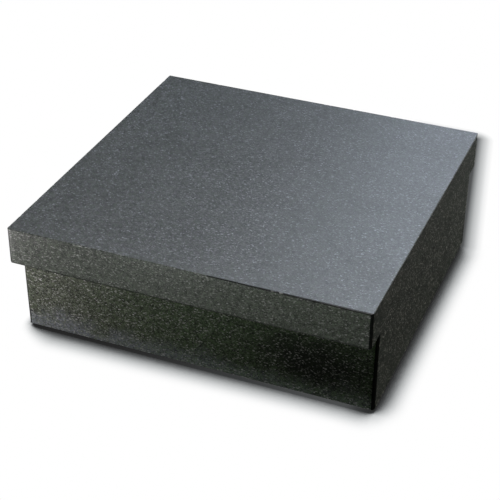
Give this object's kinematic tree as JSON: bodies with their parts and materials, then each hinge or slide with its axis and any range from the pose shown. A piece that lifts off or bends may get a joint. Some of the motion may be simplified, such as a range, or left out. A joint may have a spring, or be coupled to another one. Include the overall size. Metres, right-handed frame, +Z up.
{
  "type": "granite slab",
  "caption": "Square black granite slab with a flat working face, an overhanging clamping ledge along two opposite sides, and round rubber pads underneath.",
  "frame": {"origin": "middle of the footprint, on the surface the slab stands on", "axes": "+X along the two ledges, -Y towards the front ledge, +Z up out of the working face"},
  "size_m": [0.3048, 0.3048, 0.108],
  "materials": {
    "granite": "black granite, lapped working face, ground sides, fine pale speckle",
    "pad_rubber": "moulded black rubber, matt",
    "pad_adhesive": "thin elastic bonding disc, translucent cream"
  },
  "bodies": {
    "root": {"granite_block": "granite", "front_left_pad": "pad_rubber", "front_right_pad": "pad_rubber", "rear_pad": "pad_rubber", "front_left_pad_adhesive": "pad_adhesive", "front_right_pad_adhesive": "pad_adhesive", "rear_pad_adhesive": "pad_adhesive"}
  },
  "joints": []
}
